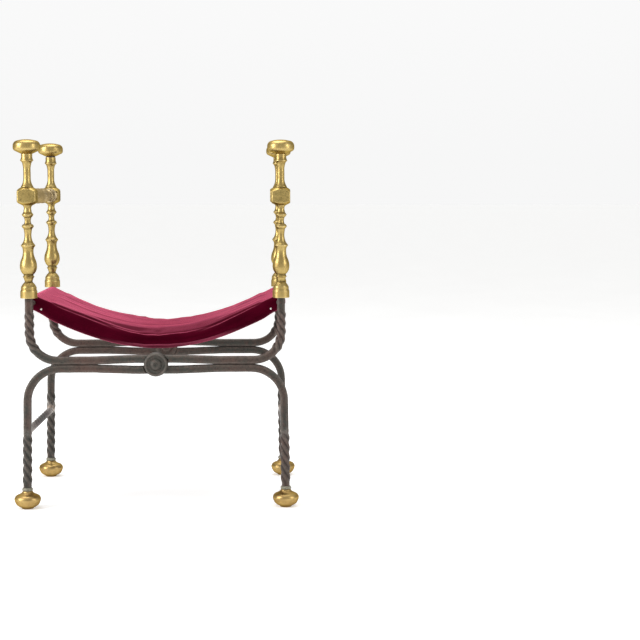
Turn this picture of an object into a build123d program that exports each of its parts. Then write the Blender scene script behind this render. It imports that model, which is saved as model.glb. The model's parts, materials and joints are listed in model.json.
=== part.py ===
from build123d import *
import os
from math import atan2, cos, radians, sin, sqrt, tan

# Folding X-frame armchair: two crossed wrought-iron frames, one at the front and
# one at the back, carry turned brass posts and feet and a padded sling seat.
# Millimetres. +X is right seen from the front, -Y is the front and +Z is up.
# The origin is on the floor, midway between the four feet.
# In each frame one bar runs from the left arm through the pivot to the right foot,
# and the other is its mirror image. Every bar is named after the arm it carries.

# ---- Frames ----
frame_spacing = 350.0       # front frame's mid plane to the back frame's
pivot_height = 289.5        # pivot axis above the floor
bar = 15.6                  # square iron bar
bar_corner = 1.7            # chamfer of its worn corners
rest_gap = 0.3              # between the crossed bars where they lie on each other
eye_radius = 24.0           # half-lapped eyes round the pivot
eye_offset = 10.9           # bar's centre line beside the eye, off the pivot axis
level_run = 45.0            # each bar runs level this far out from the pivot, then slants
join_reach = 125.0          # distance from the pivot where the bars come together
lap_clearance = 0.3         # round and between the two half-lapped eyes
arm_reach = 250.0           # pivot to the post's axis, level with the socket mouth
arm_rise = 133.0            # pivot to the socket mouth
arm_bend = 54.0             # bend radius on the bar's centre line
arm_plain = 27.0            # untwisted end under the socket
arm_quarters = 5            # twist, in quarter turns
arm_quarter = 16.5          # length of one quarter turn
leg_reach = 258.8           # pivot to the leg's axis, level with the foot's top
leg_bend = 66.0
leg_lean = 0.92             # outward lean in degrees; the arms stand upright
leg_plain = 13.0
front_leg_quarters = 5
back_leg_quarters = 7
leg_quarter = 20.0
twist_steps = 3             # drawn sections in a quarter turn

# ---- Pivot, the same in both frames ----
rivet_radius = 6.0
running_fit = 0.05          # radial clearance on the rivet
rivet_head_radius = 13.0
rivet_head = 7.0
dimple_radius = 2.6
dimple_depth = 1.6
rosette_radius = 23.5
rosette_rim = 5.5
rosette_valley_radius = 17.0
rosette_seat = 3.0          # thickness of the hollow between rim and head
washer_radius = 13.0
washer_height = 2.5
washer_gap = 0.3            # to the eye that turns beside the washer
tail_radius = 9.0
tail_height = 3.0

# ---- Post core, drawn down from the end of the iron bar ----
core_radius = 5.0
core_clearance = 0.2
knob_bite = 14.0            # length of core inside the knob

# ---- Lower baluster, its turned members from the socket mouth up ----
ring_hollow = 0.09          # hollow of every ring's flanks, as a share of its length
socket_radius = 16.7
socket_wall = 13.8
bell_radius = 15.4
bell_step = 2.5
bell_band = 5.4
bell_shoulder = 10.3
bell_bulge = 0.7
low_neck_radius = 7.7
low_neck = 5.9
low_fillet_radius = 9.1
low_ring_radius = 12.1
low_ring = 8.9
vase_foot_radius = 9.6
vase_radius = 16.8
vase_belly = 15.8           # vase's foot to its widest point
vase_taper = 30.5           # widest point to its narrowest
vase_top_radius = 10.3
vase_lip = 7.9
mid_fillet_radius = 11.7
mid_ring_radius = 14.4
mid_ring = 6.5
long_neck_radius = 6.8
long_neck_fall = 16.7
long_neck_rise = 11.3
high_fillet_radius = 8.0
high_ring_radius = 12.3
high_ring = 13.8
high_ring_foot_radius = 6.7
high_neck_radius = 6.0
high_neck = 8.9
top_fillet_radius = 7.0
top_ring_radius = 11.7
top_ring = 13.8
cap_fillet_radius = 8.0
cap_neck_radius = 7.0
cap_neck = 5.9
cap_radius = 10.1
cap_flare = 5.9

# ---- Cube block and the column above it ----
block_width = 37.0
block_height = 35.5
block_base_radius = 10.2
base_slope = 0.5            # fall of the block's lower turned shoulder
top_slope = 0.65             # and of its upper one
column_foot_radius = 13.1
column_flare = 17.7
column_radius = 7.2
column_shaft = 18.7
column_swell = 7.9
collar_foot_radius = 8.4
collar_rise = 7.9
collar_radius = 13.2
collar_fall = 7.9
collar_top_radius = 10.9
collar_neck = 5.4

# ---- Knob ----
knob_neck_radius = 11.1
knob_hip_radius = 22.4
knob_hip = 5.4
knob_radius = 26.9
knob_underside = 6.4
knob_band = 4.0
knob_shoulder_radius = 18.5
knob_shoulder = 10.3
knob_dome = 2.4
spacer_radius = 9.8         # iron washer under the back left knob only
spacer_height = 2.2

# ---- Arm spindle, its members from the middle outwards ----
middle_ring_radius = 14.0
middle_ring = 9.0           # whole width
middle_fillet_radius = 10.5
middle_fillet = 4.0
barrel_radius = 15.8
barrel_rise = 22.0          # fillet to the widest point; the fall takes up the rest
barrel_end_radius = 9.5
barrel_ring_radius = 12.4
barrel_ring = 8.0
spindle_neck_radius = 9.0
spindle_neck = 26.0
spindle_flare_radius = 12.0
spindle_flare = 10.0
end_disc_radius = 15.5
end_disc = 7.0
tenon_radius = 6.0
tenon_length = 9.0
tenon_clearance = 0.2       # round every brass mortise's tenon

# ---- Foot, its members from the floor up ----
foot_pad_radius = 10.9
foot_pad = 2.0
foot_radius = 26.5
foot_belly = 16.0
belly_bulge = 2.6
foot_crown_radius = 20.3
foot_crown = 9.5
foot_neck_radius = 10.1
foot_flare = 6.0
foot_hollow = 0.9
foot_neck = 2.5
leg_tenon_radius = 4.5
leg_tenon = 16.0
solder_radius = 10.7        # solder ring round the leg on top of the foot
solder_top_radius = 10.2
solder_height = 5.5

# ---- Cross bars between the two frames ----
rail_radius = 5.0
rail_drop = 11.0            # socket mouth down to the rail's axis
rail_inset = 4.3            # rail's axis inward of the upright's
stretcher = 12.0            # square side stretcher
stretcher_corner = 1.3
stretcher_height = 152.5
stretcher_plain = 14.0
stretcher_quarters = 11
weld_width = 15.4
weld_length = 4.0

# ---- Sling seat ----
sling_depth = 300.0         # front edge to back edge
sling_end_radius = 14.0     # outside of the sleeve round a rail
sleeve_clearance = 0.4
sling_thickness = 36.0      # at the middle
sling_sag = 74.0            # rail's axis to the middle of the pad
sling_turn = 280.0           # half-width over which the slope turns
sling_round = 9.0           # rounding of the long front and back edges
tack_radius = 2.4
tack_head = 1.2
tack_shank_radius = 0.9
tack_shank = 6.0
tack_inset = 16.0           # inward of the rail's axis
tack_drop = 5.0             # below the pad's middle line

# ---- Derived ----
half_depth = frame_spacing / 2
bar_half = bar / 2
rest_offset = bar_half + rest_gap / 2
socket_height = pivot_height + arm_rise
core_bore = core_radius + core_clearance
column_length = (
    column_flare + column_shaft + column_swell + collar_rise + collar_fall + collar_neck
)
baluster_length = (
    socket_wall + bell_step + bell_band + bell_shoulder + low_neck + low_ring
    + vase_belly + vase_taper + vase_lip + mid_ring + long_neck_fall + long_neck_rise
    + high_ring + high_neck + top_ring + cap_neck + cap_flare
)
block_level = baluster_length + block_height / 2
column_level = baluster_length + block_height
knob_level = column_level + column_length
core_length = knob_level + knob_bite
foot_height = foot_pad + foot_belly + foot_crown + foot_flare + foot_neck
leg_fall = pivot_height - foot_height

LEFT, RIGHT = -1, 1
FRONT, BACK = -1, 1
UP, DOWN = 1, -1
side_names = {LEFT: "left", RIGHT: "right"}
depth_names = {FRONT: "front", BACK: "back"}
corners = [(side, depth) for depth in (FRONT, BACK) for side in (LEFT, RIGHT)]

os.makedirs("parts", exist_ok=True)


def save(piece, name):
    piece.label = name
    export_step(piece, f"parts/{name}.step")


# ---- Outlines of turned pieces, drawn from the lower end up ----
def rise(start, radius, length):
    """Draws a straight wall or cone and returns its upper end."""
    end = (radius, start[1] + length)
    Line(start, end)
    return end


def swell(start, radius, length, bulge):
    """Draws an arc that stands proud by bulge, or is hollow where that is negative."""
    end = (radius, start[1] + length)
    across, along = end[0] - start[0], length
    span = sqrt(across**2 + along**2)
    middle = (
        start[0] + across / 2 + bulge * along / span,
        start[1] + along / 2 - bulge * across / span,
    )
    ThreePointArc(start, middle, end)
    return end


def flat_ended(start, radius, length, proud):
    """Draws an arc that runs parallel to the turning axis at one of its ends.

    That is its wider end where the arc stands proud, and otherwise the narrower.
    """
    span = sqrt((radius - start[0]) ** 2 + length**2)
    slope = atan2(abs(radius - start[0]), length)
    bulge = span / 2 * tan(slope / 2)
    return swell(start, radius, length, bulge if proud else -bulge)


def crown(start, radius, length):
    return flat_ended(start, radius, length, True)


def cove(start, radius, length):
    return flat_ended(start, radius, length, False)


def ogee(start, radius, length):
    """Draws a crown from the wider end that runs on into a cove."""
    middle = (start[0] + radius) / 2
    at = flat_ended(start, middle, length / 2, start[0] > radius)
    return flat_ended(at, radius, length / 2, start[0] < radius)


def dome(start, length):
    """Draws part of a circle that is centred on the turning axis, up to that axis."""
    slope = atan2(length, start[0])
    span = sqrt(start[0] ** 2 + length**2)
    return swell(start, 0, length, span / 2 * tan(slope / 2))


def turned_ring(start, crest_radius, end_radius, length):
    """Draws a ring whose two flanks meet in a worn crest."""
    crest = swell(start, crest_radius, length / 2, -ring_hollow * length)
    return swell(crest, end_radius, length / 2, -ring_hollow * length)


def revolve_outline(plane):
    """Turns the sketch that was drawn on a plane about the plane's local Y."""
    revolve(axis=Axis(plane.origin, plane.y_dir))


# ---- Planes ----
def post_plane(side, depth, level=0.0):
    """Plane on a post's axis: local X is its radius and local Y runs up it."""
    return Plane(
        origin=(side * arm_reach, depth * half_depth, socket_height + level),
        x_dir=(1, 0, 0),
        z_dir=(0, -1, 0),
    )


def across_post(side, depth, level):
    """Plane square to a post's axis at a level above the socket mouth."""
    plane = post_plane(side, depth, level)
    return Plane(origin=plane.origin, x_dir=plane.x_dir, z_dir=plane.y_dir)


def frame_plane(depth):
    """A frame's mid plane with its origin on the pivot, local X and Z upright."""
    return Plane(
        origin=(0, depth * half_depth, pivot_height), x_dir=(1, 0, 0), z_dir=(0, -1, 0)
    )


def outward_plane(depth, outward):
    """Plane across the pivot axis whose normal points away from the seat."""
    return Plane(
        origin=(0, depth * (half_depth + outward), pivot_height),
        x_dir=(1, 0, 0),
        z_dir=(0, depth, 0),
    )


def pivot_plane(depth, outward):
    """Plane for turning round the pivot axis: local Y points away from the seat."""
    return Plane(
        origin=(0, depth * (half_depth + outward), pivot_height),
        x_dir=(1, 0, 0),
        z_dir=(0, 0, depth),
    )


def foot_plane(side, depth):
    return Plane(
        origin=(side * leg_reach, depth * half_depth, 0), x_dir=(1, 0, 0), z_dir=(0, -1, 0)
    )


def turned_plane(origin, across, ahead, turned):
    """Plane square to a direction, turned about it by some degrees."""
    turned_across = Vector(across).rotate(Axis((0, 0, 0), ahead), turned)
    return Plane(origin=origin, x_dir=turned_across, z_dir=ahead)


# ---- Iron bars ----
class Limb:
    """Centre line of one half of a bar: level from the pivot, bent, then straight.

    u runs outwards from the pivot, and v runs up for an arm and down for a leg.
    """

    def __init__(self, side, way, depth):
        arm = way == UP
        self.side, self.way, self.depth = side, way, depth
        self.reach = arm_reach if arm else leg_reach
        self.rise = arm_rise if arm else leg_fall
        self.bend = arm_bend if arm else leg_bend
        self.lean = 0.0 if arm else radians(leg_lean)
        self.plain = arm_plain if arm else leg_plain
        leg_quarters = front_leg_quarters if depth == FRONT else back_leg_quarters
        self.quarters = arm_quarters if arm else leg_quarters
        self.quarter = arm_quarter if arm else leg_quarter
        self.overrun = 0 if arm else bar_corner
        bend_top = rest_offset + self.bend * (1 - sin(self.lean))
        spread = (self.rise - bend_top) * tan(self.lean)
        self.turn_u = self.reach - spread - self.bend * cos(self.lean)
        self.straight = (self.rise - bend_top) / cos(self.lean)
        self.twist_end = self.plain + self.quarters * self.quarter

    def local(self, u, v):
        """A point of the frame plane."""
        return (self.side * u, self.way * v)

    def on_bend(self, turn):
        """A point of the bend, by its angle from where the bend meets the straight."""
        u = self.turn_u + self.bend * cos(turn)
        return (u, rest_offset + self.bend * (1 - sin(turn)))

    def inner_plane(self):
        """Plane across the bar where it leaves the pivot's centre line."""
        height = pivot_height + self.way * eye_offset
        return Plane(
            origin=(0, self.depth * half_depth, height), x_dir=(0, 1, 0), z_dir=(self.side, 0, 0)
        )

    def section_plane(self, back, turned):
        """Plane across the bar at a distance back from its outer end.

        It is turned about the bar by some degrees, the left-handed way.
        """
        if back <= self.straight:
            turn = self.lean
            u = self.reach - back * sin(turn)
            v = self.rise - back * cos(turn)
        else:
            turn = self.lean + (back - self.straight) / self.bend
            u, v = self.on_bend(turn)
        point = Vector(
            self.side * u, self.depth * half_depth, pivot_height + self.way * v
        )
        ahead = (self.side * sin(turn), 0, self.way * cos(turn))
        return turned_plane(point, (0, 1, 0), ahead, turned)


def draw_section(width, corner):
    """Draws a square section with its worn corners."""
    edge = width / 2
    flat = edge - corner
    quarter = [Vector(edge, -flat), Vector(edge, flat)]
    turns = (0, 90, 180, 270)
    Polygon(*[point.rotate(Axis.Z, turn) for turn in turns for point in quarter], align=None)


def level_line(limb):
    """Draws the centre line from the pivot out to the start of the twist."""
    level_end = limb.local(level_run, eye_offset)
    joined = limb.local(join_reach, rest_offset)
    bend_start = limb.local(limb.turn_u, rest_offset)
    Line(limb.local(0, eye_offset), level_end)
    Line(level_end, joined)
    Line(joined, bend_start)
    last_turn = limb.lean + max(0.0, limb.twist_end - limb.straight) / limb.bend
    half_turn = (radians(90) + last_turn) / 2
    bend_end = limb.local(*limb.on_bend(last_turn))
    ThreePointArc(bend_start, limb.local(*limb.on_bend(half_turn)), bend_end)
    if limb.twist_end < limb.straight:
        back = limb.straight - limb.twist_end
        u, v = limb.on_bend(limb.lean)
        Line(bend_end, limb.local(u + back * sin(limb.lean), v + back * cos(limb.lean)))


def build_bar(side, depth):
    """One bar: its arm, eye, leg, post core and leg tenon."""
    outer_eye = side == LEFT
    lap_start = -bar_half if outer_eye else -lap_clearance / 2
    with BuildPart() as iron_bar:
        for limb in (Limb(side, UP, depth), Limb(-side, DOWN, depth)):
            with BuildLine(frame_plane(depth)):
                level_line(limb)
            with BuildSketch(limb.inner_plane()):
                draw_section(bar, bar_corner)
            sweep(transition=Transition.RIGHT)
            for step in range(limb.quarters * twist_steps + 1):
                back = limb.plain + step * limb.quarter / twist_steps
                with BuildSketch(limb.section_plane(back, step * 90 / twist_steps)):
                    draw_section(bar, bar_corner)
            loft()
            with BuildSketch(limb.section_plane(limb.plain, 0)):
                draw_section(bar, bar_corner)
            extrude(amount=limb.plain + limb.overrun)
        split(bisect_by=Plane.XY.offset(foot_height), keep=Keep.TOP)
        with BuildSketch(outward_plane(depth, -bar_half)):
            Circle(eye_radius)
        extrude(amount=bar)
        with BuildSketch(outward_plane(depth, lap_start)):
            Circle(eye_radius + lap_clearance)
        extrude(amount=bar_half + lap_clearance / 2, mode=Mode.SUBTRACT)
        with BuildSketch(outward_plane(depth, -bar_half)):
            Circle(rivet_radius + running_fit)
        extrude(amount=bar, mode=Mode.SUBTRACT)
        with BuildSketch(across_post(side, depth, 0)):
            Circle(core_radius)
        extrude(amount=core_length)
        with BuildSketch(
            Plane(origin=(-side * leg_reach, depth * half_depth, foot_height - leg_tenon))
        ):
            Circle(leg_tenon_radius)
        extrude(amount=leg_tenon)
    return iron_bar.part


bars = {}
for side, depth in corners:
    bars[side, depth] = build_bar(side, depth)
    save(bars[side, depth], f"{depth_names[depth]}_{side_names[side]}_bar")


# ---- Pivot: rosette, rivet and washer ----
def build_rosette(depth):
    plane = pivot_plane(depth, bar_half)
    bore = rivet_radius + running_fit
    with BuildPart() as rosette:
        with BuildSketch(plane):
            with BuildLine():
                Polyline((bore, rosette_seat), (bore, 0), (rosette_radius, 0))
                rim = rise((rosette_radius, 0), rosette_radius, rosette_rim * 0.4)
                crest_radius = (rosette_radius + rosette_valley_radius) / 2
                crest = swell(rim, crest_radius, rosette_rim * 0.6, 0.9)
                fall = rosette_seat - rosette_rim
                valley = swell(crest, rosette_valley_radius, fall, -0.4)
                Line(valley, (bore, rosette_seat))
            make_face()
        revolve_outline(plane)
    return rosette.part


def build_rivet(depth):
    plane = pivot_plane(depth, 0)
    head_seat = bar_half + rosette_seat
    tail_seat = -bar_half - washer_gap - washer_height
    with BuildPart() as rivet:
        with BuildSketch(plane):
            with BuildLine():
                Polyline(
                    (0, tail_seat - tail_height),
                    (tail_radius * 0.6, tail_seat - tail_height),
                    (tail_radius, tail_seat - tail_height * 0.4),
                    (tail_radius, tail_seat),
                    (rivet_radius, tail_seat),
                    (rivet_radius, head_seat),
                    (rivet_head_radius, head_seat),
                )
                dome_end = (dimple_radius, head_seat + rivet_head)
                dome = swell(
                    (rivet_head_radius, head_seat), dome_end[0], rivet_head, 2.2
                )
                dimple = (0, dome[1] - dimple_depth)
                Polyline(dome, dimple, (0, tail_seat - tail_height))
            make_face()
        revolve_outline(plane)
    return rivet.part


def build_washer(depth):
    outer = -bar_half - washer_gap
    with BuildPart() as washer:
        with BuildSketch(outward_plane(depth, outer - washer_height)):
            Circle(washer_radius)
            Circle(rivet_radius + running_fit, mode=Mode.SUBTRACT)
        extrude(amount=washer_height)
    return washer.part


for depth in (FRONT, BACK):
    save(build_rosette(depth), f"{depth_names[depth]}_pivot_rosette")
    save(build_rivet(depth), f"{depth_names[depth]}_pivot_rivet")
    save(build_washer(depth), f"{depth_names[depth]}_pivot_washer")


# ---- Brass post: baluster, block with column, knob ----
def build_baluster(side, depth):
    plane = post_plane(side, depth)
    with BuildPart() as baluster:
        with BuildSketch(plane):
            with BuildLine():
                Line((core_bore, 0), (socket_radius, 0))
                at = rise((socket_radius, 0), socket_radius, socket_wall)
                at = rise(at, bell_radius, bell_step)
                at = rise(at, bell_radius, bell_band)
                at = swell(at, low_neck_radius, bell_shoulder, bell_bulge)
                at = cove(at, low_fillet_radius, low_neck)
                at = turned_ring(at, low_ring_radius, vase_foot_radius, low_ring)
                at = crown(at, vase_radius, vase_belly)
                at = ogee(at, vase_top_radius, vase_taper)
                at = cove(at, mid_fillet_radius, vase_lip)
                at = turned_ring(at, mid_ring_radius, mid_fillet_radius, mid_ring)
                at = cove(at, long_neck_radius, long_neck_fall)
                at = cove(at, high_fillet_radius, long_neck_rise)
                at = turned_ring(at, high_ring_radius, high_ring_foot_radius, high_ring)
                at = cove(at, high_neck_radius, high_neck / 2)
                at = cove(at, top_fillet_radius, high_neck / 2)
                at = turned_ring(at, top_ring_radius, cap_fillet_radius, top_ring)
                at = cove(at, cap_neck_radius, cap_neck)
                at = cove(at, cap_radius, cap_flare)
                Polyline(at, (core_bore, at[1]), (core_bore, 0))
            make_face()
        revolve_outline(plane)
    return baluster.part


def build_block(side, depth):
    """Square block with turned shoulders, the column above it cast in one piece."""
    plane = post_plane(side, depth, baluster_length)
    reach = block_width * 0.75
    top_shoulder = (reach - column_foot_radius) * top_slope
    with BuildPart() as block:
        with BuildSketch(across_post(side, depth, baluster_length)):
            Rectangle(block_width, block_width)
        extrude(amount=block_height)
        with BuildSketch(plane):
            with BuildLine():
                Polyline(
                    (0, 0),
                    (block_base_radius, 0),
                    (reach, (reach - block_base_radius) * base_slope),
                    (reach, block_height - top_shoulder),
                    (column_foot_radius, block_height),
                    (0, block_height),
                    close=True,
                )
            make_face()
        revolve(axis=Axis(plane.origin, plane.y_dir), mode=Mode.INTERSECT)
        with BuildSketch(plane):
            with BuildLine():
                foot = (column_foot_radius, block_height)
                Line((core_bore, block_height), foot)
                at = cove(foot, column_radius, column_flare)
                at = rise(at, column_radius, column_shaft)
                at = cove(at, collar_foot_radius, column_swell)
                at = cove(at, collar_radius, collar_rise)
                at = cove(at, collar_top_radius, collar_fall)
                at = rise(at, collar_top_radius, collar_neck)
                Polyline(at, (core_bore, at[1]), (core_bore, block_height))
            make_face()
        revolve_outline(plane)
        with BuildSketch(across_post(side, depth, baluster_length)):
            Circle(core_bore)
        extrude(amount=block_height, mode=Mode.SUBTRACT)
        with BuildSketch(spindle_mortise(side, depth)):
            Circle(tenon_radius + tenon_clearance)
        extrude(amount=tenon_length + tenon_clearance, mode=Mode.SUBTRACT)
    return block.part


def block_centre(side, depth):
    return post_plane(side, depth, block_level).origin


def spindle_mortise(side, depth):
    """Plane on the block's face towards the seat, its normal into the block."""
    centre = block_centre(side, depth)
    face = centre - Vector(0, depth * block_width / 2, 0)
    return Plane(origin=face, x_dir=(1, 0, 0), z_dir=(0, depth, 0))


def knob_seat(side, depth):
    """Level of the knob's underside, which one washer raises at one corner."""
    return knob_level + (spacer_height if (side, depth) == (LEFT, BACK) else 0)


def build_knob(side, depth):
    seat = knob_seat(side, depth)
    plane = post_plane(side, depth, seat)
    with BuildPart() as knob:
        with BuildSketch(plane):
            with BuildLine():
                Line((0, 0), (knob_neck_radius, 0))
                at = rise((knob_neck_radius, 0), knob_hip_radius, knob_hip)
                at = crown(at, knob_radius, knob_underside)
                at = rise(at, knob_radius, knob_band)
                at = crown(at, knob_shoulder_radius, knob_shoulder)
                at = dome(at, knob_dome)
                Line(at, (0, 0))
            make_face()
        revolve_outline(plane)
        with BuildSketch(across_post(side, depth, seat)):
            Circle(core_bore)
        extrude(amount=knob_bite + 1, mode=Mode.SUBTRACT)
    return knob.part


for side, depth in corners:
    corner = f"{depth_names[depth]}_{side_names[side]}"
    save(build_baluster(side, depth), f"{corner}_baluster")
    save(build_block(side, depth), f"{corner}_block")
    save(build_knob(side, depth), f"{corner}_knob")

with BuildPart() as knob_spacer:
    with BuildSketch(across_post(LEFT, BACK, knob_level)):
        Circle(spacer_radius)
        Circle(core_bore, mode=Mode.SUBTRACT)
    extrude(amount=spacer_height)
save(knob_spacer.part, "back_left_knob_spacer")


# ---- Arm spindles between the blocks ----
def build_spindle(side):
    centre = block_centre(side, FRONT)
    plane = Plane(origin=(centre.X, 0, centre.Z), x_dir=(1, 0, 0), z_dir=(0, 0, 1))
    half_span = half_depth - block_width / 2
    barrel_fall = half_span - (
        middle_ring / 2 + middle_fillet + barrel_rise + barrel_ring
        + spindle_neck + spindle_flare + end_disc
    )
    with BuildPart() as spindle:
        with BuildSketch(plane):
            with BuildLine():
                Line((0, 0), (middle_ring_radius, 0))
                at = crown((middle_ring_radius, 0), middle_fillet_radius, middle_ring / 2)
                at = rise(at, middle_fillet_radius, middle_fillet)
                at = crown(at, barrel_radius, barrel_rise)
                at = ogee(at, barrel_end_radius, barrel_fall)
                at = turned_ring(at, barrel_ring_radius, spindle_neck_radius, barrel_ring)
                at = rise(at, spindle_neck_radius, spindle_neck)
                at = cove(at, spindle_flare_radius, spindle_flare)
                at = rise(at, end_disc_radius, end_disc / 4)
                at = rise(at, end_disc_radius, end_disc * 3 / 4)
                Polyline(
                    at,
                    (tenon_radius, at[1]),
                    (tenon_radius, at[1] + tenon_length),
                    (0, at[1] + tenon_length),
                    (0, 0),
                )
            make_face()
        revolve_outline(plane)
        mirror(about=Plane.XZ)
    return spindle.part


# ---- Feet and their solder rings ----
def build_foot(side, depth):
    plane = foot_plane(side, depth)
    tenon_bore = leg_tenon_radius + tenon_clearance
    with BuildPart() as foot:
        with BuildSketch(plane):
            with BuildLine():
                Line((0, 0), (foot_pad_radius, 0))
                at = rise((foot_pad_radius, 0), foot_pad_radius, foot_pad)
                at = swell(at, foot_radius, foot_belly, belly_bulge)
                at = crown(at, foot_crown_radius, foot_crown)
                at = swell(at, foot_neck_radius, foot_flare, -foot_hollow)
                at = rise(at, foot_neck_radius, foot_neck)
                bore_floor = foot_height - leg_tenon - tenon_clearance
                Polyline(
                    at,
                    (tenon_bore, at[1]),
                    (tenon_bore, bore_floor),
                    (0, bore_floor),
                    (0, 0),
                )
            make_face()
        revolve_outline(plane)
    return foot.part


def build_solder(side, depth):
    plane = foot_plane(side, depth)
    with BuildPart() as solder:
        with BuildSketch(plane):
            with BuildLine():
                foot_top = (solder_radius, foot_height)
                at = swell(foot_top, solder_top_radius, solder_height, 0.5)
                Polyline(at, (0, at[1]), (0, foot_height), foot_top)
            make_face()
        revolve_outline(plane)
        leg = Limb(side, DOWN, depth)
        with BuildSketch(leg.section_plane(solder_height * 2, 0)):
            draw_section(bar, bar_corner)
        extrude(amount=solder_height * 3, mode=Mode.SUBTRACT)
    return solder.part


# ---- Seat rails, stretchers and welds ----
rail_height = socket_height - rail_drop
rail_reach = arm_reach - rail_inset
stretcher_reach = leg_reach - (stretcher_height - foot_height) * tan(radians(leg_lean))
inner_face = half_depth - bar_half


def build_rail(side):
    start = Plane(
        origin=(side * rail_reach, -inner_face, rail_height), x_dir=(1, 0, 0), z_dir=(0, 1, 0)
    )
    with BuildPart() as rail:
        with BuildSketch(start):
            Circle(rail_radius)
        extrude(amount=2 * inner_face)
    return rail.part


def stretcher_plane(side, along, turned):
    """Plane across a stretcher, turned about it by some degrees."""
    origin = (side * stretcher_reach, along, stretcher_height)
    return turned_plane(origin, (1, 0, 0), (0, 1, 0), turned)


def cut_round_legs(side):
    """Fits the open part to the twisted legs, which are the opposite arms' bars."""
    for depth in (FRONT, BACK):
        add(bars[-side, depth], mode=Mode.SUBTRACT)


def build_stretcher(side):
    """Square bar with plain ends, twisted between them."""
    twisted = 2 * (inner_face - stretcher_plain)
    steps = stretcher_quarters * twist_steps
    with BuildPart() as side_bar:
        for step in range(steps + 1):
            along = twisted / 2 - twisted * step / steps
            with BuildSketch(stretcher_plane(side, along, step * 90 / twist_steps)):
                draw_section(stretcher, stretcher_corner)
        loft()
        for along in (-inner_face, twisted / 2):
            with BuildSketch(stretcher_plane(side, along, 0)):
                draw_section(stretcher, stretcher_corner)
            extrude(amount=stretcher_plain)
        cut_round_legs(side)
    return side_bar.part


def build_welds(side):
    """Weld fillets where a stretcher meets its two legs."""
    with BuildPart() as welds:
        for depth in (FRONT, BACK):
            for inward, width in ((0, weld_width), (weld_length, stretcher + 1)):
                with BuildSketch(stretcher_plane(side, depth * (inner_face - inward), 0)):
                    RectangleRounded(width, width, 2)
            loft()
        with BuildSketch(stretcher_plane(side, -inner_face, 0)):
            Rectangle(stretcher, stretcher)
        extrude(amount=2 * inner_face, mode=Mode.SUBTRACT)
        cut_round_legs(side)
    return welds.part


for side in (LEFT, RIGHT):
    save(build_spindle(side), f"{side_names[side]}_arm_spindle")
    save(build_rail(side), f"{side_names[side]}_seat_rail")
    save(build_stretcher(side), f"{side_names[side]}_stretcher")
    save(build_welds(side), f"{side_names[side]}_stretcher_welds")

for side, depth in corners:
    corner = f"{depth_names[depth]}_{side_names[side]}"
    save(build_foot(side, depth), f"{corner}_foot")
    save(build_solder(side, depth), f"{corner}_foot_solder")


# ---- Sling seat ----
sling_rate = sling_sag / (sqrt(rail_reach**2 + sling_turn**2) - sling_turn)


def sling_point(across, share):
    """A point of the pad at a share of its half thickness above its middle line."""
    root = sqrt(across**2 + sling_turn**2)
    height = rail_height - sling_sag + sling_rate * (root - sling_turn)
    slope = sling_rate * across / root
    thinning = (across / rail_reach) ** 2
    half = sling_thickness / 2 + (sling_end_radius - sling_thickness / 2) * thinning
    scale = share * half / sqrt(1 + slope**2)
    return (across - slope * scale, height + scale)


def sling_cap(side):
    """The outermost point of the sleeve, in line with the pad's end."""
    middle = sling_point(side * rail_reach, 0)
    top = sling_point(side * rail_reach, 1)
    return (
        middle[0] + side * (top[1] - middle[1]),
        middle[1] - side * (top[0] - middle[0]),
    )


def tack_plane(side, depth):
    """On the pad's front or back face by a rail, its normal pointing out."""
    across = rail_reach - tack_inset
    height = sling_point(across, 0)[1] - tack_drop
    return Plane(
        origin=(side * across, depth * sling_depth / 2, height),
        x_dir=(1, 0, 0),
        z_dir=(0, depth, 0),
    )


with BuildPart() as seat_sling:
    with BuildSketch(Plane.XZ):
        with BuildLine():
            stations = [rail_reach * n / 4 for n in range(-4, 5)]
            Spline(*[sling_point(across, 1) for across in stations])
            Spline(*[sling_point(across, -1) for across in stations])
            for side in (LEFT, RIGHT):
                ends = [sling_point(side * rail_reach, share) for share in (1, -1)]
                ThreePointArc(ends[0], sling_cap(side), ends[1])
        make_face()
    extrude(amount=sling_depth / 2, both=True)
    end_faces = seat_sling.faces().filter_by(Axis.Y)
    fillet(end_faces.edges(), radius=sling_round)
    for side in (LEFT, RIGHT):
        with BuildSketch(
            Plane(origin=(side * rail_reach, 0, rail_height), z_dir=(0, 1, 0))
        ):
            Circle(rail_radius + sleeve_clearance)
        extrude(amount=sling_depth / 2, both=True, mode=Mode.SUBTRACT)
    for side, depth in corners:
        with BuildSketch(tack_plane(side, depth)):
            Circle(tack_shank_radius + rest_gap)
        extrude(amount=-tack_shank - rest_gap, mode=Mode.SUBTRACT)
save(seat_sling.part, "seat_sling")

for side in (LEFT, RIGHT):
    with BuildPart() as tacks:
        for depth in (FRONT, BACK):
            face = tack_plane(side, depth)
            with BuildSketch(face.offset(rest_gap)):
                Circle(tack_radius)
            extrude(amount=tack_head, taper=25)
            with BuildSketch(face.offset(-tack_shank)):
                Circle(tack_shank_radius)
            extrude(amount=tack_shank + rest_gap)
    save(tacks.part, f"{side_names[side]}_sling_tacks")
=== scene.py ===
import json
from math import ceil, cos, pi, radians, sin, tan

import bpy
import numpy as np
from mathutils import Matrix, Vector, noise


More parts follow.
